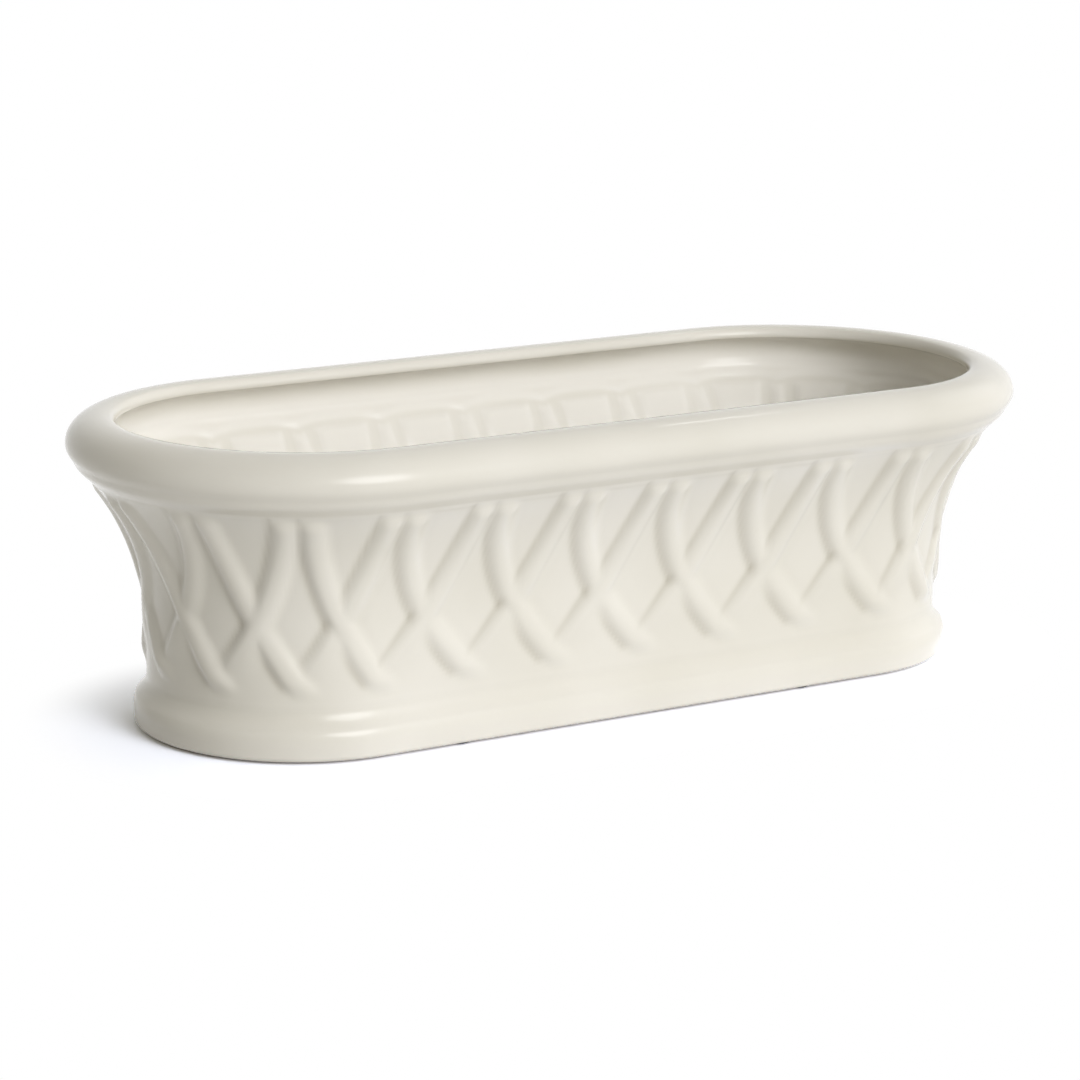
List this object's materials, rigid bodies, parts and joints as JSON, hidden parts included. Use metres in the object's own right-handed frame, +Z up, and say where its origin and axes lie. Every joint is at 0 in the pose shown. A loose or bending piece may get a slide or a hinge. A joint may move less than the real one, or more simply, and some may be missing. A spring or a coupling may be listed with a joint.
{
  "type": "indoor herb planter",
  "caption": "Long glazed ceramic herb planter with straight sides, half-round ends, a rolled rim, a woven arch lattice in relief, lift-out drain plugs and foot pads.",
  "frame": {"origin": "under the middle of the base, on the surface that the foot pads stand on", "axes": "+X along the trough, -Y to the front, +Z up out of the mouth"},
  "size_m": [0.387, 0.167, 0.114],
  "materials": {
    "glazed_ceramic": "gloss ivory glaze",
    "plug_rubber": "soft matt rubber",
    "pad_rubber": "matt rubber"
  },
  "bodies": {
    "planter": {"planter_body": "glazed_ceramic", "foot_pad_1": "pad_rubber", "foot_pad_2": "pad_rubber", "foot_pad_3": "pad_rubber", "foot_pad_4": "pad_rubber", "foot_pad_5": "pad_rubber", "foot_pad_6": "pad_rubber"},
    "drain_plug_1": {"drain_plug_1": "plug_rubber"},
    "drain_plug_2": {"drain_plug_2": "plug_rubber"},
    "drain_plug_3": {"drain_plug_3": "plug_rubber"}
  },
  "joints": [
    {"name": "drain_plug_1_lift", "type": "slide", "parent": "planter", "child": "drain_plug_1", "axis": [0, 0, 1], "range_m": [0, 0.125]},
    {"name": "drain_plug_2_lift", "type": "slide", "parent": "planter", "child": "drain_plug_2", "axis": [0, 0, 1], "range_m": [0, 0.125]},
    {"name": "drain_plug_3_lift", "type": "slide", "parent": "planter", "child": "drain_plug_3", "axis": [0, 0, 1], "range_m": [0, 0.125]}
  ]
}
